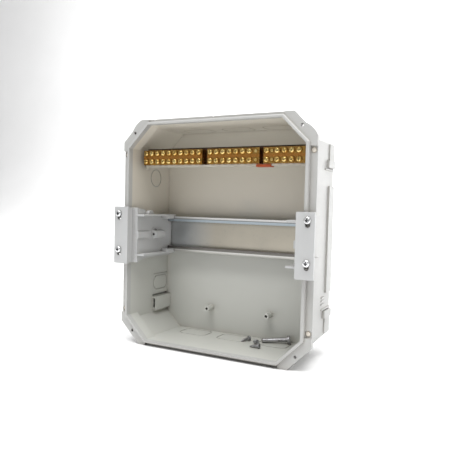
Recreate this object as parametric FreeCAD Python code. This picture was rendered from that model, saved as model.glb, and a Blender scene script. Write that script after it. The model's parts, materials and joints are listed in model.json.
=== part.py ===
import FreeCAD, Part
import math
import os

# Flush-mounting distribution box without its cover.
# X runs to the right, Y runs from the open front into the wall, Z runs up.
# The origin is the centre of the bounding box's base.

V = FreeCAD.Vector
os.makedirs("parts", exist_ok=True)

# ------------------------------------------------------------------
# Driving dimensions, in millimetres
# ------------------------------------------------------------------
# Moulded box
TUB_W = 177.5            # outside width of the tub
TUB_H = 203.5            # outside height of the tub
TUB_DEPTH = 65.0         # flange front face to the back
TUB_CHAMFER = 18.5       # leg of the tub's corner chamfers
WALL = 2.5
BACK_WALL = 2.5
BACK_EDGE_R = 3.0        # rounding round the back
FLANGE_SIDE = 5.75       # how far the flange stands out at the sides
FLANGE_END = 2.75        # and at the top and the bottom
FLANGE_T = 3.0
FLANGE_CHAMFER = 20.0
RIM_PROUD = 5.0          # lip round the opening, in front of the flange
RIM_CHAMFER = 22.5
RIM_DEPTH = 12.0         # how far the corner webs run back from the flange
PAD_H = 2.0              # raised corner pads on the flange
PAD_LEG_X = 28.0         # pads reach this far in from the flange's side
PAD_LEG_Z = 28.4         # and this far in from its end
EAR_BULGE = 1.3          # rounded ears on the two upper corners

# Holes in the flange
COVER_HOLE_R = 1.3       # cover screw pilots in the corner pads
COVER_HOLE_IN_X = 12.9   # from the flange's side
COVER_HOLE_IN_Z = 11.9   # from the flange's end
COVER_HOLE_DEPTH = 11.0
PLUG_R = 2.6             # plugs at both ends of the side bands
PLUG_IN_X = 3.1          # plug axis, in from the flange's side
PLUG_FROM_PAD = 3.1      # plug axis, in from the end of the corner pad
PLUG_SINK = 1.1
PLUG_BUTTON_R = 1.8      # middle of the plug, level with the flange
NOTCH_R = 0.9

# DIN rail, EN 60715 TH 35-7.5
RAIL_W = 35.0
RAIL_D = 7.5
RAIL_T = 1.0
RAIL_BASE = 27.0
RAIL_BELOW_MIDDLE = 2.2
RAIL_BACK_GAP = 5.6      # rail's back to the box's back wall

# Rail brackets
WEB_T = 2.5
WEB_WALL_GAP = 5.45      # web to the box's side wall
RAIL_END_GAP = 0.5
LEDGE_T = 1.8
LEDGE_REACH = 7.8        # ledge width from the step back to the rail
LEDGE_REACH_BACK = 1.2   # ledge width behind the rail's lips
RAIL_FIT = 0.2           # rail to ledge and to hook
PLATE_T = 2.8
PLATE_H = 53.0
PLATE_RIM_GAP = 3.2      # plate's back to the lip
PLATE_EDGE = 5.7         # screw axis to the plate's outer edge
PLATE_INNER = 9.8        # screw axis to the plate's inner edge
NECK_RECESS = 0.3        # neck behind the plate, in from the plate's edge
NECK_GROOVE = 4.8        # fine groove in the neck, behind the plate's back
NECK_SHORT = 0.8         # neck ends below the plate's upper and lower edges
STEP_PROUD = 1.1         # step from neck to web, before the flange face
SLOT_PITCH = 33.4
SLOT_W = 4.2
SLOT_TRAVEL = 3.5
SLOT_ABOVE = 1.5         # the two slots' middle above the rail's middle
HOOK_T = 11.0            # hooks in front of the rail's lips
HEEL_T = 2.0             # heels behind the rail's lips
HOOK_H = 2.6
WEB_PAST_RAIL = 1.0      # web and ledges run on behind the rail
SHOULDER_D = 14.3        # high front part of the web
WEB_SLOPE = 2.6          # lower edge of the web below the ledge
TOWER_R = 3.8            # screw tower on the web's inner face
TOWER_BORE_R = 1.3
TOWER_BEFORE_HOOK = 16.0
TOWER_LEN = 15.5
TOWER_BORE_LEN = 12.0
ARCH_OUT_R = 5.2         # raised arch over the tower
ARCH_IN_R = 4.0
ARCH_PROUD = 0.8
WEB_PAD_L = 17.3         # flat pad on the web behind the step
WEB_PAD_HALF_H = 3.2
WEB_PAD_PROUD = 1.3
BUMP_R = 4.2             # rounded bump on the upper ledge
BUMP_BACK = 20.3

# Bracket screws
SCREW_IN_X = 2.75        # screw axis, in from the flange's side
SHANK_R = 1.7
SHANK_FIT = 0.05
SCREW_LEN = 12.6
HEAD_R = 2.9
HEAD_H = 2.3
HEAD_GAP = 0.1           # head to plate
PILLAR_HALF_H = 4.3
PILLAR_GAP = 0.2         # pillar to plate
PILLAR_EDGE = 5.4        # screw axis to the pillar's outer side

# Terminals
BAR_H = 13.7
BAR_D = 8.0
BAR_BELOW_TOP = 21.5     # bar's top below the box's ceiling
BAR_FRONT = 12.0         # bar's face behind the flange face
BAR_LEFT_GAP = 4.6       # first bar to the left side wall
BAR_RIGHT_GAP = 2.9      # last bar to the right side wall
ROW_GAP = 7.5
BAR_GAPS = (5.2, 3.7)    # between the bars, from the left
COLUMNS = (10, 7, 5)     # terminal columns of the three bars
FIXING_W = 6.0           # column of fixing screws on the middle bar
SHORT_FIXING_W = 3.2     # and on the right-hand bar
TAIL_W = 5.2             # plain end of the right-hand bar
TERMINAL_R = 2.35
TERMINAL_PROUD = 2.2
TERMINAL_SLOT = 0.5
TERMINAL_ROUND = 1.3     # rounding of the screw heads
WIRE_R = 1.7
FIXING_R = 1.3
FIXING_PROUD = 1.2
BASE_T = 3.0
BASE_ABOVE = 2.2
SUPPORT_T = 3.0
SHELF_T = 1.5
SHELF_D = 5.0
GUIDE_T = 1.8
GUIDE_REACH = 3.2
GUIDE_FIT = 0.1
CLIP_W = 14.0
CLIP_T = 1.0
CLIP_D = 6.5

# Inside bosses and moulded marks
BOSS_R = 2.9
BOSS_H = 10.5
BOSS_X = 32.0
BOSS_UP = 24.0           # above the floor
BOSS_BORE_R = 1.3
GROOVE_W = 1.1
GROOVE_D = 0.6
KNOCK_W = 30.0
KNOCK_D = 21.0
KNOCK_R = 6.0
KNOCK_PITCH = 42.0
KNOCK_BACK_GAP = 3.0
ROUND_KNOCK_R = 9.0
ROUND_KNOCK_DOWN = 46.2  # its axis below the ceiling
ROUND_KNOCK_BACK = 23.7  # its axis in front of the back wall
ARCH_H = 15.0
ARCH_D = 24.0
ARCH_R = 6.0
ARCH_GAP = 6.0           # arch knockout to the claw pocket below it
POCKET_UP = 2.7          # claw pocket above the corner chamfer
POCKET_H = 13.5
POCKET_D = 26.5
POCKET_OUT = 4.5
POCKET_SLOT = 2.2
POCKET_LINE = 1.6        # deep groove above the pocket
SIDE_PANEL_T = 1.5       # thickened panel outside each side wall
SIDE_PANEL_D = 14.0
PANEL_TAB_GAP = 15.55
TAB_T = 2.2
TAB_IN = 18.0           # tab's axis, in from the corner chamfer
TAB_HALF_H = 3.2
TAB_D = 19.0
SIDE_RIB_D = 24.0        # front ends of the small ribs, from the back

# Loose screws that lie on the floor
LONG_R = 2.0
LONG_LEN = 23.0
LONG_HEAD_R = 3.9
LONG_HEAD_H = 3.0
SMALL_R = 1.3
SMALL_LEN = 8.5
SMALL_HEAD_R = 2.4
SMALL_HEAD_H = 1.6
TIP_LEN = 3.0
FLOOR_GAP = 0.05
# Each lying screw: X of its seat, seat to back wall, and the way it points
LONG_PLACE = (52.6, 6.4, 110)
SMALL_PLACES = ((17.5, 15.7, 145), (29.0, 23.7, 42), (36.0, 35.2, 90))

# ------------------------------------------------------------------
# Places worked out from the dimensions
# ------------------------------------------------------------------
FLANGE_W = TUB_W + 2 * FLANGE_SIDE
FLANGE_H = TUB_H + 2 * FLANGE_END
IN_W = TUB_W / 2 - WALL                      # half the inside width
IN_H = TUB_H / 2 - WALL                      # half the inside height
PLATE_BACK = RIM_PROUD + PLATE_RIM_GAP       # in front of the flange
PLATE_FRONT = PLATE_BACK + PLATE_T
HEAD_SEAT = PLATE_FRONT + HEAD_GAP
FRONT_REACH = HEAD_SEAT + HEAD_H
FACE = (FRONT_REACH - TUB_DEPTH) / 2         # flange face, so that the box is centred in Y
MID = FLANGE_H / 2                           # height of the box's middle
FLOOR = MID - IN_H
BACK_IN = FACE + TUB_DEPTH - BACK_WALL       # inside face of the back wall
SCREW_X = FLANGE_W / 2 - SCREW_IN_X
WEB_OUT = IN_W - WEB_WALL_GAP
WEB_IN = WEB_OUT - WEB_T
RAIL_END = WEB_IN - RAIL_END_GAP
RAIL_FRONT = BACK_IN - RAIL_BACK_GAP - RAIL_D
RAIL_Z = MID - RAIL_BELOW_MIDDLE
STEP_Y = FACE - STEP_PROUD                     # bracket's step, front side
SLOT_ZS = (RAIL_Z + SLOT_ABOVE + SLOT_PITCH / 2, RAIL_Z + SLOT_ABOVE - SLOT_PITCH / 2)
SCREW_ZS = tuple(z + SLOT_TRAVEL / 2 for z in SLOT_ZS)
POCKET_LOW = FLOOR + TUB_CHAMFER - WALL * (2 - math.sqrt(2)) + POCKET_UP
TAB_Z = TUB_H / 2 - TUB_CHAMFER - TAB_IN
SIDE_PANEL_HALF_H = TAB_Z - TAB_HALF_H - PANEL_TAB_GAP
BAR_TOP = MID + IN_H - BAR_BELOW_TOP
BAR_LOW = BAR_TOP - BAR_H
BAR_Y = FACE + BAR_FRONT
BASE_Y = BAR_Y + BAR_D
SUPPORT_Y = BASE_Y + BASE_T


# ------------------------------------------------------------------
# Helpers
# ------------------------------------------------------------------
def box(x0, x1, y0, y1, z0, z1):
    """Block between two corners."""
    return Part.makeBox(x1 - x0, y1 - y0, z1 - z0, V(x0, y0, z0))


def rod(radius, start, end):
    """Cylinder from start to end."""
    axis = end - start
    return Part.makeCylinder(radius, axis.Length, start, axis)


def join(shapes):
    """One clean solid from shapes that touch or overlap."""
    return shapes[0].multiFuse(shapes[1:]).removeSplitter()


def prism_y(points, y0, y1):
    """Outline in X and Z, pushed from y0 to y1."""
    wire = Part.makePolygon([V(x, y0, z) for x, z in points + points[:1]])
    return Part.Face(wire).extrude(V(0, y1 - y0, 0))


def prism_x(points, x0, x1):
    """Outline in Y and Z, pushed from x0 to x1."""
    wire = Part.makePolygon([V(x0, y, z) for y, z in points + points[:1]])
    return Part.Face(wire).extrude(V(x1 - x0, 0, 0))


def octagon(half_w, half_h, leg):
    """Corner points of a rectangle with chamfered corners, about the middle."""
    w, h = half_w, half_h
    corners = [(w - leg, h), (w, h - leg), (w, leg - h), (w - leg, -h),
               (leg - w, -h), (-w, leg - h), (-w, h - leg), (leg - w, h)]
    return [(x, MID + z) for x, z in corners]


def inset(leg, wall):
    """Chamfer leg of the outline that lies one wall inside."""
    return leg - wall * (2 - math.sqrt(2))


def both(shape):
    """The shape and its mirror image on the box's other side."""
    return [shape, shape.mirror(V(0, 0, 0), V(1, 0, 0))]


def rounded_plate(half_x, half_y, radius, z0, z1, centre):
    """Flat plate with rounded corners, lying in X and Y."""
    plate = box(-half_x, half_x, -half_y, half_y, z0, z1)
    upright = [e for e in plate.Edges if abs(e.tangentAt(e.FirstParameter).z) > 0.9]
    plate = plate.makeFillet(radius, upright)
    plate.translate(V(centre[0], centre[1], 0))
    return plate


def rounded_side(x0, x1, y0, y1, z0, z1, radius):
    """Flat block with rounded corners, lying in Y and Z."""
    block = box(x0, x1, y0, y1, z0, z1)
    across = [e for e in block.Edges if abs(e.tangentAt(e.FirstParameter).x) > 0.9]
    return block.makeFillet(radius, across)


def stadium_y(width, length, y0, y1, x, z):
    """Upright slot shape, pushed from y0 to y1."""
    radius = width / 2
    reach = length / 2 - radius
    ends = [rod(radius, V(x, y0, z + s * reach), V(x, y1, z + s * reach)) for s in (-1, 1)]
    return join(ends + [box(x - radius, x + radius, y0, y1, z - reach, z + reach)])


def cross_recess(centre, radius, depth, direction):
    """Cutter for a cross-head recess; direction points into the head."""
    arm = radius * 0.17
    cutter = join([
        box(-radius * 0.55, radius * 0.55, -arm, arm, 0, depth),
        box(-arm, arm, -radius * 0.55, radius * 0.55, 0, depth),
        Part.makeCone(radius * 0.34, radius * 0.12, depth * 1.15),
    ])
    cutter.Placement = FreeCAD.Placement(centre, FreeCAD.Rotation(V(0, 0, 1), direction))
    return cutter


def pan_screw(seat, direction, shank_r, length, head_r, head_h, tip=0.0):
    """Pan-head screw; seat is under the head and direction is the way it is driven."""
    dome = head_h * 0.45
    head = Part.makeCylinder(head_r, head_h, V(0, 0, -head_h))
    top = [e for e in head.Edges if abs(e.BoundBox.ZMax + head_h) < 1e-6 and len(e.Vertexes) == 1]
    head = head.makeFillet(dome, top)
    shank = Part.makeCylinder(shank_r, length - tip, V(0, 0, 0))
    point = Part.makeCone(shank_r, shank_r * 0.2, tip) if tip else Part.makeCone(
        shank_r, shank_r * 0.75, shank_r * 0.4)
    point.translate(V(0, 0, length - tip))
    screw = join([head, shank, point])
    screw = screw.cut(cross_recess(V(0, 0, -head_h), head_r, head_h * 0.62, V(0, 0, 1)))
    screw.Placement = FreeCAD.Placement(seat, FreeCAD.Rotation(V(0, 0, 1), direction))
    return screw


def save(shape, name):
    """Write one node."""
    shape.exportStep(os.path.join("parts", name + ".step"))


# ------------------------------------------------------------------
# Moulded box
# ------------------------------------------------------------------
def ear(side, upper):
    """Shallow rounded ear on half of an upper corner's chamfer."""
    w, h = FLANGE_W / 2, FLANGE_H / 2
    mid_x, mid_z = w - FLANGE_CHAMFER / 2, h - FLANGE_CHAMFER / 2
    end_x, end_z = (w - FLANGE_CHAMFER, h) if upper else (w, h - FLANGE_CHAMFER)
    out = EAR_BULGE / math.sqrt(2)
    a = V(side * mid_x, FACE - PAD_H, MID + mid_z)
    b = V(side * end_x, FACE - PAD_H, MID + end_z)
    m = (a + b) / 2 + V(side * out, 0, out)
    bow = Part.Arc(a, m, b).toShape()
    face = Part.Face(Part.Wire([bow, Part.makeLine(b, a)]))
    return face.extrude(V(0, PAD_H + FLANGE_T, 0))


def flange():
    """Flat flange with raised corner pads and two ears."""
    outline = octagon(FLANGE_W / 2, FLANGE_H / 2, FLANGE_CHAMFER)
    plate = prism_y(outline, FACE, FACE + FLANGE_T)
    raised = prism_y(outline, FACE - PAD_H, FACE)
    low_x, low_z = FLANGE_W / 2 - PAD_LEG_X, FLANGE_H / 2 - PAD_LEG_Z
    strips = [box(-low_x, low_x, FACE - PAD_H, FACE, 0, FLANGE_H),
              box(-FLANGE_W / 2, FLANGE_W / 2, FACE - PAD_H, FACE, MID - low_z, MID + low_z)]
    return join([plate, raised.cut(join(strips)), ear(-1, True), ear(1, False)])


def shell_outside():
    """Tub, lip and corner webs before they are hollowed."""
    tub = prism_y(octagon(TUB_W / 2, TUB_H / 2, TUB_CHAMFER), FACE, FACE + TUB_DEPTH)
    back = [e for e in tub.Edges if e.BoundBox.YMin > FACE + TUB_DEPTH - 0.01]
    tub = tub.makeFillet(BACK_EDGE_R, back)
    lip = prism_y(octagon(TUB_W / 2, TUB_H / 2, RIM_CHAMFER), FACE - RIM_PROUD, FACE)
    front = [e for e in lip.Edges if e.BoundBox.YMax < FACE - RIM_PROUD + 0.01]
    return join([tub, lip.makeFillet(min(1.1, WALL * 0.44), front)])


def hollow():
    """Inside of the tub, narrowed by the corner webs near the front."""
    deep = prism_y(octagon(IN_W, IN_H, inset(TUB_CHAMFER, WALL)), FACE + RIM_DEPTH, BACK_IN)
    mouth = prism_y(octagon(IN_W, IN_H, inset(RIM_CHAMFER, WALL)),
                    FACE - RIM_PROUD - 1, FACE + RIM_DEPTH + 0.01)
    return join([deep, mouth])


def pillars():
    """Blocks on the flange that carry the bracket screws."""
    shapes = []
    for z in SCREW_ZS:
        block = box(TUB_W / 2 - WALL * 0.6, SCREW_X + PILLAR_EDGE,
                    FACE - PLATE_BACK + PILLAR_GAP, FACE + FLANGE_T,
                    z - PILLAR_HALF_H, z + PILLAR_HALF_H)
        shapes += both(block)
    return shapes


def pillar_bores():
    """Holes that the bracket screws run in."""
    start, end = FACE - PLATE_BACK - 1, FACE + FLANGE_T + 1
    return [shape for z in SCREW_ZS for shape in both(
        rod(SHANK_R + SHANK_FIT, V(SCREW_X, start, z), V(SCREW_X, end, z)))]


def plug_places():
    """Axis points of the four flange plugs, on the flange face."""
    x = FLANGE_W / 2 - PLUG_IN_X
    z = FLANGE_H / 2 - PAD_LEG_Z - PLUG_FROM_PAD
    return [V(sx * x, FACE, MID + sz * z) for sx in (-1, 1) for sz in (-1, 1)]


def plug_sockets():
    """Holes through the flange for the plugs."""
    return [rod(PLUG_R, p + V(0, -1, 0), p + V(0, FLANGE_T + 1, 0)) for p in plug_places()]


def cover_holes():
    """Pilot holes in the corner pads, and the small notches in the flange's edge."""
    x = FLANGE_W / 2 - COVER_HOLE_IN_X
    z = FLANGE_H / 2 - COVER_HOLE_IN_Z
    cuts = [rod(COVER_HOLE_R, V(sx * x, FACE - PAD_H - 1, MID + sz * z),
                V(sx * x, FACE + COVER_HOLE_DEPTH, MID + sz * z))
            for sx in (-1, 1) for sz in (-1, 1)]
    third = FLANGE_W * 0.323
    for px, pz in ((-third, FLANGE_H), (0.0, FLANGE_H), (third, 0.0)):
        cuts.append(rod(NOTCH_R, V(px, FACE - PAD_H - 1, pz), V(px, FACE + FLANGE_T + 1, pz)))
    return cuts


def back_bosses():
    """Two screw bosses on the back wall."""
    z = FLOOR + BOSS_UP
    tip = BACK_IN - BOSS_H
    solids = []
    cuts = []
    for x in (-BOSS_X, BOSS_X):
        solids.append(rod(BOSS_R, V(x, tip, z), V(x, BACK_IN + 0.5, z)))
        cuts.append(rod(BOSS_BORE_R, V(x, tip - 1, z), V(x, BACK_IN - 1.5, z)))
    return solids, cuts


def end_knockouts():
    """Score lines of the rounded cable knockouts in the ceiling and the floor."""
    y = BACK_IN - KNOCK_BACK_GAP - KNOCK_D / 2
    cuts = []
    for x in (-KNOCK_PITCH, 0.0, KNOCK_PITCH):
        for z0, z1 in ((FLOOR - GROOVE_D, FLOOR + 0.5), (MID + IN_H - 0.5, MID + IN_H + GROOVE_D)):
            outer = rounded_plate(KNOCK_W / 2, KNOCK_D / 2, KNOCK_R, z0, z1, (x, y))
            inner = rounded_plate(KNOCK_W / 2 - GROOVE_W, KNOCK_D / 2 - GROOVE_W,
                                  KNOCK_R - GROOVE_W, z0 - 1, z1 + 1, (x, y))
            cuts.append(outer.cut(inner))
    return cuts


def side_knockouts():
    """Score lines of the round and the arched knockouts in the side walls."""
    x0, x1 = IN_W - 0.5, IN_W + GROOVE_D
    y, z = BACK_IN - ROUND_KNOCK_BACK, MID + IN_H - ROUND_KNOCK_DOWN
    ring = rod(ROUND_KNOCK_R, V(x0, y, z), V(x1, y, z)).cut(
        rod(ROUND_KNOCK_R - GROOVE_W, V(x0 - 1, y, z), V(x1 + 1, y, z)))
    ya, yb = BACK_IN - GROOVE_W - ARCH_D, BACK_IN - GROOVE_W
    low = POCKET_LOW + POCKET_H + ARCH_GAP
    top = low + ARCH_H
    frame = rounded_side(x0, x1, ya, yb, low, top, ARCH_R).cut(
        rounded_side(x0 - 1, x1 + 1, ya + GROOVE_W, yb - GROOVE_W,
                     low + GROOVE_W, top - GROOVE_W, ARCH_R - GROOVE_W))
    line = box(x0, x1, ya, yb, top + 1.2, top + 2.0)
    above_pocket = box(x0, IN_W + WALL - 0.9, BACK_IN - POCKET_D, yb,
                       POCKET_LOW + POCKET_H + 0.3, POCKET_LOW + POCKET_H + 0.3 + POCKET_LINE)
    return both(ring) + both(frame) + both(line) + both(above_pocket)


def claw_pockets():
    """Raised boxes on the inside of the side walls that house the wall claws."""
    low = POCKET_LOW
    top = low + POCKET_H
    y0 = BACK_IN - POCKET_D
    block = box(IN_W - POCKET_OUT, IN_W + 0.5, y0, BACK_IN + 0.5, low, top)
    room = box(IN_W - POCKET_OUT + 1.2, IN_W + 0.2, y0 + 1.2, BACK_IN - 1.2, low + 1.2, top - 1.2)
    mouth = box(IN_W - POCKET_OUT + 1.2, IN_W - POCKET_OUT + 1.2 + POCKET_SLOT,
                y0 - 1, y0 + 2, low + 2, top - 2)
    return both(block), both(room) + both(mouth)


def side_relief():
    """Thickened panels, tabs and small ribs outside the side walls, near the back."""
    back = FACE + TUB_DEPTH - BACK_EDGE_R
    x0, face = TUB_W / 2 - 0.5, TUB_W / 2
    panel = box(x0, face + SIDE_PANEL_T, back - SIDE_PANEL_D, back,
                MID - SIDE_PANEL_HALF_H, MID + SIDE_PANEL_HALF_H)
    shapes = both(panel)
    for s in (-1, 1):
        z = MID + s * TAB_Z
        shapes += both(box(x0, face + TAB_T, back - TAB_D, back, z - TAB_HALF_H, z + TAB_HALF_H))
        low, high = sorted((z + s * TAB_HALF_H, MID + s * (TUB_H / 2 - TUB_CHAMFER - 1.0)))
        shapes += both(box(x0, face + 1.0, back - SIDE_PANEL_D, back, low, high))
        edge = z - s * (TAB_HALF_H + 1.6)
        shapes += both(box(x0, face + 1.0, back - SIDE_RIB_D, back, edge - 0.6, edge + 0.6))
    for step in range(3):
        z = MID - SIDE_PANEL_HALF_H - 3.5 - step * 3.0
        shapes += both(box(x0, face + 0.8, back - SIDE_RIB_D, back - SIDE_RIB_D + 8,
                           z - 0.6, z + 0.6))
    return shapes


def support_guides():
    """Guide ribs on the side walls that hold the terminal support."""
    y0 = SUPPORT_Y - GUIDE_FIT
    y1 = SUPPORT_Y + SUPPORT_T + GUIDE_FIT
    low = BAR_LOW - SHELF_T
    top = BAR_TOP + BASE_ABOVE
    shapes = []
    for a, b in ((y0 - GUIDE_T, y0), (y1, y1 + GUIDE_T)):
        shapes += both(box(IN_W - GUIDE_REACH, IN_W + 0.5, a, b, low, top))
    shapes += both(box(IN_W - GUIDE_REACH, IN_W + 0.5, y0 - GUIDE_T, y1 + GUIDE_T,
                       low - GUIDE_T, low))
    return shapes


def make_tub():
    """The whole moulded box."""
    boss_solids, boss_cuts = back_bosses()
    pocket_solids, pocket_cuts = claw_pockets()
    outside = join([shell_outside(), flange()] + pillars() + side_relief())
    shell = outside.cut(hollow())
    shell = join([shell] + boss_solids + pocket_solids + support_guides())
    cuts = (pillar_bores() + plug_sockets() + cover_holes() + boss_cuts + end_knockouts()
            + side_knockouts() + pocket_cuts)
    return shell.cut(cuts).removeSplitter()


def make_plugs():
    """Four plugs that close the side bands' holes, each with a button in its middle."""
    plugs = []
    for p in plug_places():
        end = p + V(0, FLANGE_T, 0)
        plugs.append(join([rod(PLUG_R, p + V(0, PLUG_SINK, 0), end), rod(PLUG_BUTTON_R, p, end)]))
    return Part.makeCompound(plugs)


# ------------------------------------------------------------------
# DIN rail and its brackets
# ------------------------------------------------------------------
def make_rail():
    """Top-hat rail; the lips face the front."""
    y0, y1 = RAIL_FRONT, RAIL_FRONT + RAIL_D
    half, base, t = RAIL_W / 2, RAIL_BASE / 2, RAIL_T
    outline = [(y0, half), (y0, base - t), (y1 - t, base - t), (y1 - t, t - base),
               (y0, t - base), (y0, -half), (y0 + t, -half), (y0 + t, -base),
               (y1, -base), (y1, base), (y0 + t, base), (y0 + t, half)]
    return prism_x([(y, RAIL_Z + z) for y, z in outline], -RAIL_END, RAIL_END)


def bracket_plate():
    """Front plate with its two slots, and the neck behind its inner edge."""
    y0, y1 = FACE - PLATE_FRONT, FACE - PLATE_BACK
    x0, x1 = SCREW_X - PLATE_INNER, SCREW_X + PLATE_EDGE
    plate = box(x0, x1, y0, y1, RAIL_Z - PLATE_H / 2, RAIL_Z + PLATE_H / 2)
    along = [e for e in plate.Edges if abs(e.tangentAt(e.FirstParameter).y) > 0.9]
    plate = plate.makeFillet(1.0, along)
    low, top = RAIL_Z - PLATE_H / 2 + NECK_SHORT, RAIL_Z + PLATE_H / 2 - NECK_SHORT
    side = x0 + NECK_RECESS
    neck = box(side, side + WEB_T, y1 - 0.01, STEP_Y + WEB_T, low, top)
    step = box(WEB_IN, side + WEB_T, STEP_Y, STEP_Y + WEB_T, low, top)
    cuts = [stadium_y(SLOT_W, SLOT_W + SLOT_TRAVEL, y0 - 1, y1 + 5, SCREW_X, z)
            for z in SLOT_ZS]
    cuts.append(box(side - 1, side + 0.4, y1 + NECK_GROOVE - 0.25, y1 + NECK_GROOVE + 0.25,
                    low - 1, top + 1))
    return join([plate, neck, step]).cut(cuts)


def bracket_web():
    """Side web that runs back to the rail, with its upper and lower outlines."""
    y0, y1 = STEP_Y, RAIL_FRONT + RAIL_D + WEB_PAST_RAIL
    shoulder = y0 + SHOULDER_D
    top = RAIL_W / 2 + RAIL_FIT + LEDGE_T
    high = PLATE_H / 2 - 1.3
    low = top + WEB_SLOPE
    outline = [(y0, high), (shoulder - 2, high - 1.4), (shoulder, top), (y1, top),
               (y1, -top), (y1 - 4, -low), (shoulder, -low), (y0, -high)]
    return prism_x([(y, RAIL_Z + z) for y, z in outline], WEB_IN, WEB_OUT)


def bracket_ledges():
    """Ledges above and below the rail, with hooks before and behind its lips."""
    y1 = RAIL_FRONT + RAIL_D + WEB_PAST_RAIL
    hook_back = RAIL_FRONT - RAIL_FIT
    hook_front = hook_back - HOOK_T
    heel_front = RAIL_FRONT + RAIL_T + RAIL_FIT
    heel_back = heel_front + HEEL_T
    wide = WEB_IN - LEDGE_REACH
    narrow = WEB_IN - LEDGE_REACH_BACK
    root = WEB_IN + WEB_T / 2
    plan = [(root, STEP_Y), (wide, STEP_Y), (wide, heel_back), (narrow, heel_back),
            (narrow, y1), (root, y1)]
    inner = RAIL_W / 2 + RAIL_FIT
    shapes = []
    for s in (-1, 1):
        z0, z1 = sorted((RAIL_Z + s * inner, RAIL_Z + s * (inner + LEDGE_T)))
        wire = Part.makePolygon([V(x, y, z0) for x, y in plan + plan[:1]])
        shapes.append(Part.Face(wire).extrude(V(0, 0, z1 - z0)))
        h0, h1 = sorted((RAIL_Z + s * (inner - HOOK_H), RAIL_Z + s * (inner + 0.01)))
        shapes.append(box(wide, root, hook_front, hook_back, h0, h1))
        shapes.append(box(wide, root, heel_front, heel_back, h0, h1))
    return shapes


def bracket_tower():
    """Screw tower on the web's inner face, with a raised arch over it."""
    start = RAIL_FRONT - RAIL_FIT - HOOK_T - TOWER_BEFORE_HOOK
    end = start + TOWER_LEN
    x = WEB_IN - TOWER_R / 2
    tower = rod(TOWER_R, V(x, start, RAIL_Z), V(x, end, RAIL_Z))
    tower = tower.cut(box(WEB_OUT, WEB_OUT + TOWER_R, start - 1, end + 1,
                          RAIL_Z - TOWER_R, RAIL_Z + TOWER_R))
    bore = rod(TOWER_BORE_R, V(x, start - 1, RAIL_Z), V(x, start + TOWER_BORE_LEN, RAIL_Z))
    y, z = start + 4.0, RAIL_Z + 1.5
    inner_face, root = WEB_IN - ARCH_PROUD, WEB_IN + WEB_T / 2
    arch = rod(ARCH_OUT_R, V(inner_face, y, z), V(root, y, z))
    arch = arch.cut([rod(ARCH_IN_R, V(inner_face - 1, y, z), V(root + 1, y, z)),
                     box(inner_face - 1, root + 1, y - ARCH_OUT_R, y + ARCH_OUT_R,
                         z - ARCH_OUT_R, z)])
    return [tower, arch], [bore]


def bracket_pads():
    """Flat pad behind the step, and the rounded bump on the upper ledge."""
    pad = box(WEB_IN - WEB_PAD_PROUD, WEB_IN + WEB_T / 2, STEP_Y, STEP_Y + WEB_PAD_L,
              RAIL_Z - WEB_PAD_HALF_H, RAIL_Z + WEB_PAD_HALF_H)
    ledge_low = RAIL_Z + RAIL_W / 2 + RAIL_FIT
    y, z = STEP_Y + BUMP_BACK, ledge_low + LEDGE_T - 0.4
    bump = rod(BUMP_R, V(WEB_IN - 1.0, y, z), V(WEB_OUT, y, z))
    bump = bump.cut(box(0, WEB_OUT + 1, y - BUMP_R, y + BUMP_R, z - BUMP_R, ledge_low))
    return [pad, bump]


def make_bracket():
    """Right-hand rail bracket."""
    tower, bores = bracket_tower()
    body = join([bracket_plate(), bracket_web()] + bracket_ledges() + tower + bracket_pads())
    return body.cut(bores).removeSplitter()


# ------------------------------------------------------------------
# Earth and neutral terminals
# ------------------------------------------------------------------
TERMINAL, FIXING, PLAIN = "terminal", "fixing", "plain"
BARS_LENGTH = 2 * IN_W - BAR_LEFT_GAP - BAR_RIGHT_GAP
PITCH = (BARS_LENGTH - sum(BAR_GAPS) - FIXING_W - SHORT_FIXING_W - TAIL_W) / sum(COLUMNS)
BARS = (
    [(TERMINAL, PITCH)] * COLUMNS[0],
    [(TERMINAL, PITCH)] * COLUMNS[1] + [(FIXING, FIXING_W)],
    ([(TERMINAL, PITCH), (FIXING, SHORT_FIXING_W)]
     + [(TERMINAL, PITCH)] * (COLUMNS[2] - 1) + [(PLAIN, TAIL_W)]),
)


def columns(index):
    """Left end, right end, and the kind and middle of each column of a bar."""
    x = BAR_LEFT_GAP - IN_W
    for bar, gap in zip(BARS[:index], BAR_GAPS):
        x += sum(width for _, width in bar) + gap
    start = x
    places = []
    for kind, width in BARS[index]:
        places.append((kind, x + width / 2))
        x += width
    return start, x, places


def row_heights():
    """Heights of the two rows of terminals."""
    middle = (BAR_TOP + BAR_LOW) / 2
    return middle - ROW_GAP / 2, middle + ROW_GAP / 2


def make_bar(index):
    """Brass bar with screw holes from the front and wire holes from below and above."""
    x0, x1, places = columns(index)
    bar = box(x0, x1, BAR_Y, BAR_Y + BAR_D, BAR_LOW, BAR_TOP)
    low, high = row_heights()
    cuts = []
    for kind, x in places:
        for z in (low, high):
            if kind == TERMINAL:
                cuts.append(rod(TERMINAL_R * 0.62, V(x, BAR_Y - 1, z), V(x, BAR_Y + 5.5, z)))
            if kind == FIXING:
                cuts.append(rod(FIXING_R * 0.75, V(x, BAR_Y - 1, z), V(x, BAR_Y + BAR_D + 1, z)))
        if kind == TERMINAL:
            y = BAR_Y + 5.0
            cuts.append(rod(WIRE_R, V(x, y, BAR_LOW - 1), V(x, y, low + 1.6)))
            cuts.append(rod(WIRE_R, V(x, y, high - 1.6), V(x, y, BAR_TOP + 1)))
    return bar.cut(cuts)


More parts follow.
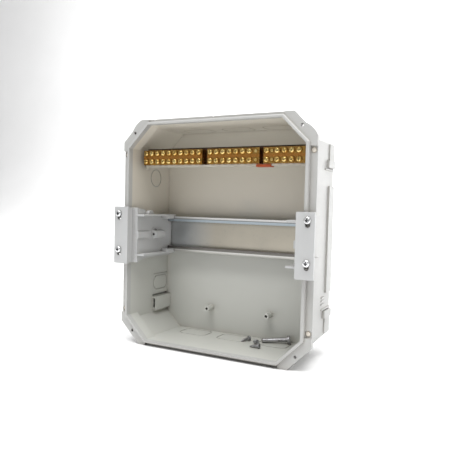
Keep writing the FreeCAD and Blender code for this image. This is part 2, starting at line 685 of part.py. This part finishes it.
def terminal_screw(x, z, turn):
    """Slotted brass cheese-head screw; turn sets the way its slot points."""
    head = Part.makeCylinder(TERMINAL_R, TERMINAL_PROUD, V(0, 0, -TERMINAL_PROUD))
    rim = [e for e in head.Edges if abs(e.BoundBox.ZMax + TERMINAL_PROUD) < 1e-6
           and len(e.Vertexes) == 1]
    head = head.makeFillet(TERMINAL_ROUND, rim)
    shank = Part.makeCylinder(TERMINAL_R * 0.62 - SHANK_FIT, 2.8)
    slot = box(-TERMINAL_R - 1, TERMINAL_R + 1, -TERMINAL_SLOT / 2, TERMINAL_SLOT / 2,
               -TERMINAL_PROUD - 1, -TERMINAL_PROUD + 0.8)
    screw = join([head, shank]).cut(slot)
    screw.rotate(V(0, 0, 0), V(0, 0, 1), turn)
    screw.Placement = FreeCAD.Placement(
        V(x, BAR_Y, z), FreeCAD.Rotation(V(0, 0, 1), V(0, 1, 0))).multiply(screw.Placement)
    return screw


def make_terminal_screws(index):
    """All terminal screws of one bar, each turned a little differently."""
    screws = []
    for number, (kind, x) in enumerate(columns(index)[2]):
        if kind == TERMINAL:
            for row, z in enumerate(row_heights()):
                screws.append(terminal_screw(x, z, (47 * number + 71 * row + 20 * index) % 180))
    return Part.makeCompound(screws)


def make_fixing_screws():
    """Small screws that hold the bars to their base."""
    screws = []
    for index in range(len(BARS)):
        for kind, x in columns(index)[2]:
            if kind == FIXING:
                for z in row_heights():
                    seat = V(x, BAR_Y, z)
                    head = Part.makeCylinder(FIXING_R, FIXING_PROUD, seat, V(0, -1, 0))
                    shank = rod(FIXING_R * 0.75 - SHANK_FIT, seat, seat + V(0, BAR_D + 2.0, 0))
                    screws.append(join([head, shank]))
    return Part.makeCompound(screws)


def make_base():
    """Insulating strip behind the bars."""
    x = IN_W - GUIDE_REACH - 3 * GUIDE_FIT
    strip = box(-x, x, BASE_Y, BASE_Y + BASE_T, BAR_LOW, BAR_TOP + BASE_ABOVE)
    cuts = []
    for index in range(len(BARS)):
        for kind, place in columns(index)[2]:
            if kind == FIXING:
                for z in row_heights():
                    cuts.append(rod(FIXING_R * 0.75, V(place, BASE_Y - 1, z),
                                    V(place, BASE_Y + 2.4, z)))
    return strip.cut(cuts)


def make_support():
    """Plastic cross-bar that carries the base, held in the side walls' guides."""
    reach = IN_W - GUIDE_FIT
    back = box(-reach, reach, SUPPORT_Y, SUPPORT_Y + SUPPORT_T,
               BAR_LOW - SHELF_T, BAR_TOP + BASE_ABOVE)
    inner = IN_W - GUIDE_REACH - GUIDE_FIT
    shelf = box(-inner, inner, SUPPORT_Y - SHELF_D, SUPPORT_Y + 0.01, BAR_LOW - SHELF_T, BAR_LOW)
    return join([back, shelf])


def make_clip():
    """Coloured clip on the support's shelf, below the gap of the last two bars."""
    x = columns(1)[1] + BAR_GAPS[1] / 2
    y0 = SUPPORT_Y - SHELF_D - CLIP_T
    low = BAR_LOW - SHELF_T
    lower = box(x - CLIP_W / 2, x + CLIP_W / 2, y0, y0 + CLIP_D, low - CLIP_T, low)
    front = box(x - CLIP_W / 2, x + CLIP_W / 2, y0, y0 + CLIP_T, low - 0.01, BAR_LOW - 0.3)
    return join([lower, front])


# ------------------------------------------------------------------
# Screws
# ------------------------------------------------------------------
def bracket_screw(side, z):
    """Cross-head screw that clamps a bracket to its pillar."""
    seat = V(side * SCREW_X, FACE - HEAD_SEAT, z)
    return pan_screw(seat, V(0, 1, 0), SHANK_R, SCREW_LEN, HEAD_R, HEAD_H)


def lying_screw(shank_r, length, head_r, head_h, tip, place):
    """Screw that lies on the floor on its head's edge and its far end."""
    x, to_back, angle = place
    screw = pan_screw(V(0, 0, 0), V(0, 1, 0), shank_r, length, head_r, head_h, tip)
    reach = length - tip
    tilt = math.degrees(math.asin((head_r - shank_r) / math.hypot(reach, head_r - shank_r)))
    screw.rotate(V(0, 0, 0), V(1, 0, 0), -tilt)
    screw.rotate(V(0, 0, 0), V(0, 0, 1), angle)
    lowest = screw.optimalBoundingBox(True, False).ZMin
    screw.translate(V(x, BACK_IN - to_back, FLOOR + FLOOR_GAP - lowest))
    return screw


def make_long_screw():
    """The one long screw; its head points to the right."""
    return lying_screw(LONG_R, LONG_LEN, LONG_HEAD_R, LONG_HEAD_H, 0, LONG_PLACE)


def make_small_screws():
    """Three short pointed screws that lie apart."""
    return Part.makeCompound([
        lying_screw(SMALL_R, SMALL_LEN, SMALL_HEAD_R, SMALL_HEAD_H, TIP_LEN, place)
        for place in SMALL_PLACES])


# ------------------------------------------------------------------
# Nodes
# ------------------------------------------------------------------
right_bracket = make_bracket()
save(make_tub(), "enclosure_box")
save(make_plugs(), "flange_plugs")
save(make_rail(), "din_rail")
save(right_bracket, "rail_bracket_right")
save(both(right_bracket)[1], "rail_bracket_left")
for side_name, side_sign in (("left", -1), ("right", 1)):
    for level_name, level_z in zip(("upper", "lower"), SCREW_ZS):
        save(bracket_screw(side_sign, level_z), "bracket_screw_" + level_name + "_" + side_name)
save(make_support(), "terminal_support")
save(make_base(), "terminal_base")
for bar_index, bar_name in enumerate(("left", "middle", "right")):
    save(make_bar(bar_index), "terminal_bar_" + bar_name)
    save(make_terminal_screws(bar_index), "terminal_screws_" + bar_name)
save(make_fixing_screws(), "bar_fixing_screws")
save(make_clip(), "terminal_clip")
save(make_long_screw(), "loose_long_screw")
save(make_small_screws(), "loose_small_screws")
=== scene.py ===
import json
import math

import bmesh
import bpy
from mathutils import Matrix, Vector


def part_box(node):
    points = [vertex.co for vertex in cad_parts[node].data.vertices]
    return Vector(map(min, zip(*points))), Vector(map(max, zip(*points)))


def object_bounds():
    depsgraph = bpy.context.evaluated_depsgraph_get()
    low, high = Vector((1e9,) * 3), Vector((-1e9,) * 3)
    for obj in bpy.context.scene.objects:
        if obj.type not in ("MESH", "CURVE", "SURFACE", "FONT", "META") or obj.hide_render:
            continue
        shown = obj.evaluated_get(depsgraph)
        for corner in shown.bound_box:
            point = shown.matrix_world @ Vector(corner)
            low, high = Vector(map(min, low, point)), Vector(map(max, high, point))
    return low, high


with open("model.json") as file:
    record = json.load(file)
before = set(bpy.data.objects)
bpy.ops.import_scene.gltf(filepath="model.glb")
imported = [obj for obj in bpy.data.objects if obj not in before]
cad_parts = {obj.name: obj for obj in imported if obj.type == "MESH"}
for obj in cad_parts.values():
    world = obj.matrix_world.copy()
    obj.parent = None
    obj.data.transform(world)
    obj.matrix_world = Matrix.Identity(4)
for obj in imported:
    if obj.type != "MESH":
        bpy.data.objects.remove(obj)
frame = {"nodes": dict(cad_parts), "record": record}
cad_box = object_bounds()
scene = bpy.context.scene

# Places that the materials follow, in metres in the part's own frame
MIDDLE = (cad_box[0] + cad_box[1]) / 2
RAIL_LOW, RAIL_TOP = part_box("din_rail")
LIP_BACK = RAIL_LOW.y + 0.0014             # in front of it the rail is lip, behind it web
SHEEN_FROM, SHEEN_TO = RAIL_LOW.x + 0.0178, RAIL_LOW.x + 0.0518    # cool sheen fades here
BAR_LOW, BAR_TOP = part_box("terminal_bar_left")
ROW_GAP_Z = (BAR_LOW.z + BAR_TOP.z) / 2    # between the two rows of terminal screws
ROW_GAP_HALF = 0.0010
INSIDE_HALF_W = 0.0865
INSIDE_FRONT, INSIDE_BACK = -0.0250, 0.0372
INSIDE_LOW, INSIDE_TOP = 0.0048, 0.2042
INSIDE_SLANT = 0.1696                      # corner chamfers: |x| and |z from the middle| added
TINT_FADE = 0.0004                         # width over which the inside tint ends
SLANT_FADE = 0.0006

# Camera
CAMERA_PLACE = (0.2262, -0.4263, 0.1332)
CAMERA_YAW, CAMERA_PITCH, CAMERA_ROLL = (math.radians(a) for a in (27.877, 2.819, 1.415))
CAMERA_LENS = 42.35
CAMERA_SHIFT = (-0.0005, 0.0118)

# Studio, in metres
FLOOR_FRONT, SWEEP_START, SWEEP_RADIUS, WALL_TOP = -3.0, 1.2, 0.8, 3.5
SWEEP_HALF_WIDTH = 5.0
SWEEP_STEPS = 12
SKY_STRENGTH = 0.43


# ------------------------------------------------------------------
# Shader helpers
# ------------------------------------------------------------------
class Shader:
    """One procedural material, built node by node."""

    def __init__(self, name):
        self.material = bpy.data.materials.new(name)
        self.material.use_nodes = True
        self.tree = self.material.node_tree
        self.bsdf = self.tree.nodes["Principled BSDF"]
        self.place = self.new("ShaderNodeTexCoord").outputs["Object"]

    def new(self, kind, **settings):
        node = self.tree.nodes.new(kind)
        for key, value in settings.items():
            setattr(node, key, value)
        return node

    def link(self, source, target):
        self.tree.links.new(source, target)

    def put(self, socket, value):
        if hasattr(value, "is_linked"):
            self.link(value, socket)
        else:
            socket.default_value = value

    def scaled(self, scale):
        node = self.new("ShaderNodeMapping")
        self.link(self.place, node.inputs["Vector"])
        node.inputs["Scale"].default_value = scale
        return node.outputs["Vector"]

    def noise(self, scale, detail=3.0, rough=0.55, stretch=None):
        node = self.new("ShaderNodeTexNoise")
        self.link(self.scaled(stretch) if stretch else self.place, node.inputs["Vector"])
        node.inputs["Scale"].default_value = scale
        node.inputs["Detail"].default_value = detail
        node.inputs["Roughness"].default_value = rough
        return node.outputs["Fac"]

    def remap(self, value, low, high, to_low=0.0, to_high=1.0):
        node = self.new("ShaderNodeMapRange")
        self.link(value, node.inputs["Value"])
        for key, number in zip(("From Min", "From Max", "To Min", "To Max"),
                               (low, high, to_low, to_high)):
            node.inputs[key].default_value = number
        return node.outputs["Result"]

    def maths(self, operation, a, b):
        node = self.new("ShaderNodeMath", operation=operation)
        self.put(node.inputs[0], a)
        self.put(node.inputs[1], b)
        return node.outputs[0]

    def axes(self):
        """X, Y and Z of the part's own frame, in metres."""
        node = self.new("ShaderNodeSeparateXYZ")
        self.link(self.place, node.inputs[0])
        return node.outputs

    def within(self, value, low, high, soft):
        """1 between low and high, fading to 0 over the soft width outside."""
        rise = self.remap(value, low - soft, low)
        fall = self.remap(value, high, high + soft, 1.0, 0.0)
        return self.maths("MULTIPLY", rise, fall)

    def bands(self, value, low, high, stops):
        """Colours along an axis: stops are (place from 0 to 1, colour)."""
        node = self.new("ShaderNodeValToRGB")
        self.link(self.remap(value, low, high), node.inputs["Fac"])
        ramp = node.color_ramp
        while len(ramp.elements) < len(stops):
            ramp.elements.new(0.5)
        for element, (place, color) in zip(ramp.elements, stops):
            element.position = place
            element.color = color
        return node.outputs["Color"]

    def mix(self, factor, a, b):
        node = self.new("ShaderNodeMix", data_type="RGBA")
        self.put(node.inputs["Factor"], factor)
        self.put(node.inputs["A"], a)
        self.put(node.inputs["B"], b)
        return node.outputs["Result"]

    def corners(self, distance):
        """1 in the open, towards 0 in tight inside corners."""
        node = self.new("ShaderNodeAmbientOcclusion", samples=6)
        node.inputs["Distance"].default_value = distance
        return node.outputs["AO"]

    def relief(self, layers, edge=0.0):
        """Bump from (height, strength, distance) layers, over softened edges."""
        normal = None
        if edge:
            bevel = self.new("ShaderNodeBevel", samples=4)
            bevel.inputs["Radius"].default_value = edge
            normal = bevel.outputs["Normal"]
        for height, strength, distance in layers:
            node = self.new("ShaderNodeBump")
            node.inputs["Strength"].default_value = strength
            node.inputs["Distance"].default_value = distance
            self.link(height, node.inputs["Height"])
            if normal:
                self.link(normal, node.inputs["Normal"])
            normal = node.outputs["Normal"]
        self.link(normal, self.bsdf.inputs["Normal"])

    def finish(self, color, roughness, metallic=0.0, ior=1.5, coat=0.0, coat_roughness=0.2):
        self.put(self.bsdf.inputs["Base Color"], color)
        self.put(self.bsdf.inputs["Roughness"], roughness)
        self.bsdf.inputs["Metallic"].default_value = metallic
        self.bsdf.inputs["IOR"].default_value = ior
        self.bsdf.inputs["Coat Weight"].default_value = coat
        self.bsdf.inputs["Coat Roughness"].default_value = coat_roughness
        return self.material


def rgb(red, green, blue):
    return (red, green, blue, 1.0)


# ------------------------------------------------------------------
# Materials
# ------------------------------------------------------------------
def inside_tone(s, color):
    """Inside of the tub: warmer towards the top, greyer below, and lighter at the very top."""
    x, y, z = s.axes()
    sideways = s.maths("ABSOLUTE", x, 0.0)
    slant = s.maths("ADD", sideways, s.maths("ABSOLUTE", s.maths("SUBTRACT", z, MIDDLE.z), 0.0))
    inside = s.within(sideways, -1.0, INSIDE_HALF_W, TINT_FADE)
    inside = s.maths("MULTIPLY", inside, s.within(y, INSIDE_FRONT, INSIDE_BACK, TINT_FADE))
    inside = s.maths("MULTIPLY", inside, s.within(z, INSIDE_LOW, INSIDE_TOP, TINT_FADE))
    inside = s.maths("MULTIPLY", inside, s.within(slant, -1.0, INSIDE_SLANT, SLANT_FADE))
    wander = s.maths("ADD", z, s.remap(s.noise(14.0, 3.0), 0.3, 0.7, -0.02, 0.02))
    inside_toned = s.mix(s.remap(wander, 0.080, 0.125),
                 rgb(0.535, 0.540, 0.502), rgb(0.630, 0.592, 0.513))
    inside_toned = s.mix(s.remap(z, 0.188, 0.203), inside_toned, rgb(0.740, 0.705, 0.620))
    return s.mix(s.maths("MULTIPLY", inside, 0.95), color, inside_toned)


def moulded_plastic(name, light, dark, dusty, gloss, edge=0.0005, inside_toned=False):
    """Moulded ABS: flow clouds, handling scuffs, dust in the corners, painted near-black shade in
    tight corners and holes.
    """
    s = Shader(name)
    clouds = s.remap(s.noise(9.0, 4.0), 0.35, 0.65)
    color = s.mix(clouds, light, dark)
    if inside_toned:
        color = inside_tone(s, color)
    specks = s.remap(s.noise(2600.0, 2.0), 0.60, 0.75, 0.0, 0.10)
    color = s.mix(specks, color, dusty)
    dust = s.maths("MULTIPLY", s.remap(s.corners(0.008), 0.30, 0.90, 0.38, 0.0),
                   s.remap(s.noise(70.0, 4.0), 0.3, 0.7, 0.5, 1.0))
    color = s.mix(dust, color, dusty)
    # Painted shade: near-black in tight corners and holes.
    color = s.mix(s.remap(s.corners(0.006), 0.12, 0.44, 0.95, 0.0),
                  color, rgb(0.035, 0.030, 0.026))
    scuffs = s.remap(s.noise(70.0, 6.0, 0.6, (1.0, 1.0, 6.0)), 0.45, 0.85)
    roughness = s.maths("ADD", s.remap(s.noise(38.0, 4.0), 0.3, 0.7, gloss - 0.05, gloss + 0.06),
                        s.maths("MULTIPLY", scuffs, 0.10))
    s.relief([(s.noise(22.0, 2.0), 0.22, 0.0011), (s.noise(1700.0, 2.0), 0.10, 0.00010)], edge)
    return s.finish(color, roughness, ior=1.52, coat=0.15, coat_roughness=0.30)


def galvanised():
    """Zinc-coated rail: rolling lines, dull patches, painted bright and dark reflection bands
    across the rolled lip faces, a painted cool sheen at the left end, painted shade in the corners.
    """
    s = Shader("galvanised_steel")
    x, y, z = s.axes()
    rolled = s.noise(60.0, 5.0, 0.6, (0.12, 3.0, 3.0))
    patches = s.remap(s.noise(24.0, 4.0), 0.35, 0.70)
    web = s.mix(patches, rgb(0.49, 0.455, 0.38), rgb(0.44, 0.41, 0.35))
    # Painted cool sheen, a reflection, fading out along the rail's left end.
    web = s.mix(s.remap(x, SHEEN_FROM, SHEEN_TO, 0.85, 0.0), web, rgb(0.53, 0.555, 0.575))
    # Painted reflections and shade: bright lines and dark bands across the front lip faces, set by
    # height.
    lip_painted_reflections = s.bands(z, RAIL_LOW.z, RAIL_TOP.z, [
        (0.0, rgb(0.50, 0.49, 0.46)), (0.040, rgb(0.60, 0.59, 0.56)),
        (0.052, rgb(0.88, 0.88, 0.86)), (0.064, rgb(0.24, 0.23, 0.21)),
        (0.115, rgb(0.18, 0.17, 0.16)), (0.5, rgb(0.4, 0.4, 0.4)),
        (0.885, rgb(0.46, 0.53, 0.58)), (0.918, rgb(0.56, 0.63, 0.68)),
        (0.926, rgb(0.16, 0.18, 0.20)), (0.945, rgb(0.52, 0.52, 0.51)),
        (0.960, rgb(0.80, 0.80, 0.79)), (1.0, rgb(0.86, 0.86, 0.85))])
    color = s.mix(s.remap(y, LIP_BACK + 0.0002, LIP_BACK - 0.0002), web, lip_painted_reflections)
    color = s.mix(s.remap(s.noise(420.0, 4.0), 0.60, 0.75, 0.0, 0.35), color, rgb(0.33, 0.32, 0.30))
    # Painted shade: darker in the corners and where the rail meets the hooks.
    color = s.mix(s.remap(s.corners(0.004), 0.35, 0.9, 0.6, 0.0), color, rgb(0.14, 0.13, 0.12))
    roughness = s.maths("ADD", s.remap(rolled, 0.3, 0.7, 0.29, 0.37),
                        s.remap(patches, 0, 1, 0, 0.08))
    s.relief([(rolled, 0.07, 0.0003), (s.noise(1100.0, 3.0), 0.05, 0.0001)], 0.0005)
    return s.finish(color, roughness, metallic=1.0)


def zinc():
    """Bright plated screw steel with turning marks and dark spots, and painted near-black shade in
    the recesses.
    """
    s = Shader("zinc_plate")
    spots = s.remap(s.noise(900.0, 4.0), 0.55, 0.7)
    color = s.mix(spots, rgb(0.84, 0.85, 0.86), rgb(0.42, 0.41, 0.38))
    # Painted shade: near-black in the screw recesses and tight corners.
    color = s.mix(s.remap(s.corners(0.0014), 0.50, 0.92, 0.95, 0.0), color, rgb(0.03, 0.03, 0.04))
    roughness = s.remap(s.noise(500.0, 3.0), 0.3, 0.7, 0.17, 0.26)
    s.relief([(s.noise(1500.0, 3.0), 0.15, 0.0001)], 0.0002)
    return s.finish(color, roughness, metallic=1.0)


def plain_steel():
    """Dull oiled steel with brown-black stains."""
    s = Shader("plain_steel")
    stains = s.remap(s.noise(300.0, 5.0), 0.45, 0.70, 0.0, 0.8)
    color = s.mix(stains, rgb(0.40, 0.40, 0.41), rgb(0.12, 0.11, 0.10))
    roughness = s.remap(s.noise(600.0, 3.0), 0.3, 0.7, 0.30, 0.55)
    s.relief([(s.noise(1300.0, 4.0), 0.25, 0.00015)], 0.0002)
    return s.finish(color, roughness, metallic=1.0)


def brass():
    """Brass bars painted darker as shade and screw heads painted lighter as highlight, with a
    painted warm reflection between the rows, tarnish spots, and painted shade round the heads.
    """
    s = Shader("terminal_brass")
    _, y, z = s.axes()
    drawn = s.noise(90.0, 5.0, 0.6, (0.15, 4.0, 4.0))
    patches = s.remap(s.noise(150.0, 4.0), 0.35, 0.65)
    # Painted shade: the flat brass face of the bars is darker than the screw heads.
    bar_in_painted_shade = s.mix(patches, rgb(0.52, 0.31, 0.08), rgb(0.38, 0.20, 0.05))
    # Painted warm reflection on the flat brass face between the two rows of screws.
    row_gap_painted_reflection = s.within(z, ROW_GAP_Z - ROW_GAP_HALF, ROW_GAP_Z + ROW_GAP_HALF, 0.0006)
    bar_in_painted_shade = s.mix(row_gap_painted_reflection, bar_in_painted_shade, rgb(0.55, 0.25, 0.06))
    # Painted highlight: the screw heads get a lighter brass than the bars.
    head_painted_lit = s.mix(patches, rgb(0.88, 0.68, 0.28), rgb(0.70, 0.46, 0.14))
    color = s.mix(s.remap(y, BAR_LOW.y - 0.0001, BAR_LOW.y - 0.0004), bar_in_painted_shade, head_painted_lit)
    # Tarnish spots from noise, and painted shade darkening the corners round the screw heads.
    tarnish_and_painted_shade = s.maths("MAXIMUM", s.remap(s.corners(0.0022), 0.40, 0.90, 0.9, 0.0),
                     s.remap(s.noise(260.0, 5.0), 0.60, 0.75, 0.0, 0.5))
    color = s.mix(tarnish_and_painted_shade, color, rgb(0.16, 0.07, 0.015))
    roughness = s.maths("ADD", s.remap(drawn, 0.3, 0.7, 0.16, 0.28), s.remap(tarnish_and_painted_shade, 0, 1, 0, 0.25))
    s.relief([(drawn, 0.12, 0.0002), (s.noise(1400.0, 3.0), 0.08, 0.0001)], 0.0003)
    return s.finish(color, roughness, metallic=1.0)


def matt_plastic(name, light, dark, roughness):
    """Small matt mouldings with a fine eroded texture."""
    s = Shader(name)
    color = s.mix(s.remap(s.noise(120.0, 4.0), 0.35, 0.65), light, dark)
    rough = s.remap(s.noise(300.0, 3.0), 0.3, 0.7, roughness - 0.06, roughness + 0.08)
    s.relief([(s.noise(1900.0, 3.0), 0.2, 0.00012)], 0.0003)
    return s.finish(color, rough)


slots = {
    "box_abs": moulded_plastic("box_abs", rgb(0.470, 0.470, 0.457), rgb(0.442, 0.442, 0.430),
                               rgb(0.44, 0.38, 0.30), 0.36, inside_toned=True),
    "bracket_abs": moulded_plastic("bracket_abs", rgb(0.51, 0.515, 0.515), rgb(0.475, 0.48, 0.48),
                                   rgb(0.42, 0.40, 0.36), 0.35),
    "rail_steel": galvanised(),
    "screw_zinc": zinc(),
    "terminal_brass": brass(),
    "base_brown": matt_plastic("base_brown", rgb(0.075, 0.035, 0.018),
                               rgb(0.045, 0.020, 0.010), 0.55),
    "support_plastic": matt_plastic("support_plastic", rgb(0.62, 0.60, 0.54),
                                    rgb(0.54, 0.51, 0.45), 0.5),
    "clip_orange": matt_plastic("clip_orange", rgb(0.47, 0.095, 0.025),
                                rgb(0.38, 0.065, 0.015), 0.45),
    "plug_cream": matt_plastic("plug_cream", rgb(0.80, 0.745, 0.66),
                               rgb(0.72, 0.66, 0.57), 0.42),
    "loose_steel": plain_steel(),
}


def dress(obj, material):
    obj.data.materials.clear()
    obj.data.materials.append(material)


for part in frame["record"]["subparts"]:
    dress(frame["nodes"][part["node"]], slots[part["material_slot"]])


# ------------------------------------------------------------------
# Studio: pale floor that sweeps up behind, soft lights, camera
# ------------------------------------------------------------------
def sweep_floor():
    """Seamless floor and back wall in one curved sheet."""
    profile = [(FLOOR_FRONT, 0.0), (SWEEP_START, 0.0)]
    for step in range(1, SWEEP_STEPS + 1):
        turn = math.radians(90 * step / SWEEP_STEPS)
        profile.append((SWEEP_START + SWEEP_RADIUS * math.sin(turn),
                        SWEEP_RADIUS * (1 - math.cos(turn))))
    profile.append((SWEEP_START + SWEEP_RADIUS, WALL_TOP))
    bm = bmesh.new()
    rows = [[bm.verts.new((x, y, z)) for y, z in profile]
            for x in (-SWEEP_HALF_WIDTH, SWEEP_HALF_WIDTH)]
    for i in range(len(profile) - 1):
        bm.faces.new((rows[0][i], rows[1][i], rows[1][i + 1], rows[0][i + 1])).smooth = True
    mesh = bpy.data.meshes.new("studio_sweep")
    bm.to_mesh(mesh)
    bm.free()
    sheet = bpy.data.objects.new("studio_sweep", mesh)
    scene.collection.objects.link(sheet)
    s = Shader("studio_paper")
    color = s.mix(s.remap(s.noise(3.0), 0.3, 0.7), rgb(0.93, 0.93, 0.93), rgb(0.90, 0.90, 0.90))
    s.relief([(s.noise(600.0), 0.05, 0.0001)])
    dress(sheet, s.finish(color, 0.8))


def area_light(name, place, target, size, power, color):
    data = bpy.data.lights.new(name, "AREA")
    data.shape = "RECTANGLE"
    data.size, data.size_y = size
    data.energy = power
    data.color = color
    lamp = bpy.data.objects.new(name, data)
    lamp.location = place
    lamp.rotation_euler = (Vector(target) - Vector(place)).to_track_quat("-Z", "Y").to_euler()
    scene.collection.objects.link(lamp)


def set_camera():
    """Stands to the right of the box and a little above its middle."""
    flat = math.cos(CAMERA_PITCH)
    ahead = Vector((-math.sin(CAMERA_YAW) * flat, math.cos(CAMERA_YAW) * flat,
                    -math.sin(CAMERA_PITCH)))
    right = Vector((math.cos(CAMERA_YAW), math.sin(CAMERA_YAW), 0.0))
    up = right.cross(ahead)
    side = right * math.cos(CAMERA_ROLL) + up * math.sin(CAMERA_ROLL)
    top = up * math.cos(CAMERA_ROLL) - right * math.sin(CAMERA_ROLL)
    data = bpy.data.cameras.new("camera")
    data.sensor_width = 36.0
    data.lens = CAMERA_LENS
    data.shift_x, data.shift_y = CAMERA_SHIFT
    data.clip_start, data.clip_end = 0.01, 50.0
    camera = bpy.data.objects.new("camera", data)
    camera.matrix_world = Matrix.Translation(CAMERA_PLACE) @ Matrix(
        (side, top, -ahead)).transposed().to_4x4()
    scene.collection.objects.link(camera)
    scene.camera = camera


sweep_floor()
area_light("key_right", (1.3, 0.15, 0.45), MIDDLE, (0.8, 0.8), 1.5, (1.0, 1.0, 0.99))
area_light("top_soft", (0.12, -0.42, 1.5), MIDDLE, (1.2, 1.2), 31.0, (1.0, 1.0, 1.0))
area_light("backdrop", (0.0, 0.6, 1.2), (0.0, 2.0, 0.8), (2.4, 0.6), 64.0, (1.0, 1.0, 1.0))
world = bpy.data.worlds.new("studio")
world.use_nodes = True
sky = world.node_tree.nodes["Background"]
sky.inputs["Color"].default_value = (1.0, 1.0, 1.0, 1.0)
sky.inputs["Strength"].default_value = SKY_STRENGTH
scene.world = world
scene.view_settings.view_transform = "Standard"
set_camera()
